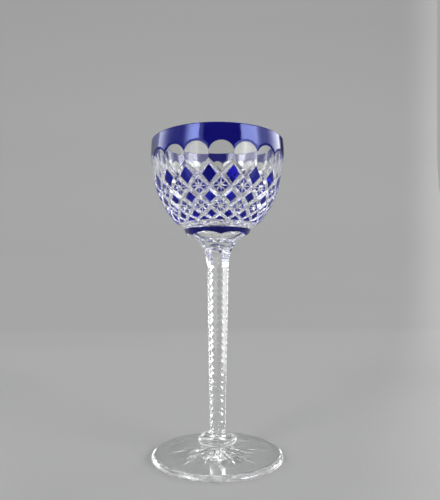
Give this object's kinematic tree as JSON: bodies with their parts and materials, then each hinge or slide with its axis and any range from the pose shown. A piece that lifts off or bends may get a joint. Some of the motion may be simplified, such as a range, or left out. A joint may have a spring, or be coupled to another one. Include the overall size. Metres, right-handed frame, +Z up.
{
  "type": "rummer",
  "caption": "Tall rummer wine glass: cup bowl cased in cobalt glass and cut to clear in arches and a diamond lattice, on a nicked six-sided stem, button knop and round star-cut foot.",
  "frame": {"origin": "centre of the foot's resting ring, on the surface that the glass stands on", "axes": "+Z up along the glass's axis, -Y towards the middle of one flute"},
  "size_m": [0.0804, 0.0804, 0.19],
  "materials": {
    "clear_crystal": "polished clear lead crystal, hand-cut facets",
    "cobalt_glass": "polished transparent cobalt blue overlay glass"
  },
  "bodies": {
    "root": {"bowl": "clear_crystal", "cobalt_rim_band": "cobalt_glass", "cobalt_base_ring": "cobalt_glass", "stem": "clear_crystal", "knop": "clear_crystal", "foot": "clear_crystal", "cobalt_tile_upper_01": "cobalt_glass", "cobalt_tile_upper_02": "cobalt_glass", "cobalt_tile_upper_03": "cobalt_glass", "cobalt_tile_upper_04": "cobalt_glass", "cobalt_tile_upper_05": "cobalt_glass", "cobalt_tile_upper_06": "cobalt_glass", "cobalt_tile_upper_07": "cobalt_glass", "cobalt_tile_upper_08": "cobalt_glass", "cobalt_tile_upper_09": "cobalt_glass", "cobalt_tile_upper_10": "cobalt_glass", "cobalt_tile_upper_11": "cobalt_glass", "cobalt_tile_upper_12": "cobalt_glass", "cobalt_tile_upper_13": "cobalt_glass", "cobalt_tile_upper_14": "cobalt_glass", "cobalt_tile_upper_15": "cobalt_glass", "cobalt_tile_upper_16": "cobalt_glass", "cobalt_tile_upper_17": "cobalt_glass", "cobalt_tile_upper_18": "cobalt_glass", "cobalt_tile_middle_01": "cobalt_glass", "cobalt_tile_middle_02": "cobalt_glass", "cobalt_tile_middle_03": "cobalt_glass", "cobalt_tile_middle_04": "cobalt_glass", "cobalt_tile_middle_05": "cobalt_glass", "cobalt_tile_middle_06": "cobalt_glass", "cobalt_tile_middle_07": "cobalt_glass", "cobalt_tile_middle_08": "cobalt_glass", "cobalt_tile_middle_09": "cobalt_glass", "cobalt_tile_middle_10": "cobalt_glass", "cobalt_tile_middle_11": "cobalt_glass", "cobalt_tile_middle_12": "cobalt_glass", "cobalt_tile_middle_13": "cobalt_glass", "cobalt_tile_middle_14": "cobalt_glass", "cobalt_tile_middle_15": "cobalt_glass", "cobalt_tile_middle_16": "cobalt_glass", "cobalt_tile_middle_17": "cobalt_glass", "cobalt_tile_middle_18": "cobalt_glass", "cobalt_tile_lower_01": "cobalt_glass", "cobalt_tile_lower_02": "cobalt_glass", "cobalt_tile_lower_03": "cobalt_glass", "cobalt_tile_lower_04": "cobalt_glass", "cobalt_tile_lower_05": "cobalt_glass", "cobalt_tile_lower_06": "cobalt_glass", "cobalt_tile_lower_07": "cobalt_glass", "cobalt_tile_lower_08": "cobalt_glass", "cobalt_tile_lower_09": "cobalt_glass", "cobalt_tile_lower_10": "cobalt_glass", "cobalt_tile_lower_11": "cobalt_glass", "cobalt_tile_lower_12": "cobalt_glass", "cobalt_tile_lower_13": "cobalt_glass", "cobalt_tile_lower_14": "cobalt_glass", "cobalt_tile_lower_15": "cobalt_glass", "cobalt_tile_lower_16": "cobalt_glass", "cobalt_tile_lower_17": "cobalt_glass", "cobalt_tile_lower_18": "cobalt_glass"}
  },
  "joints": []
}
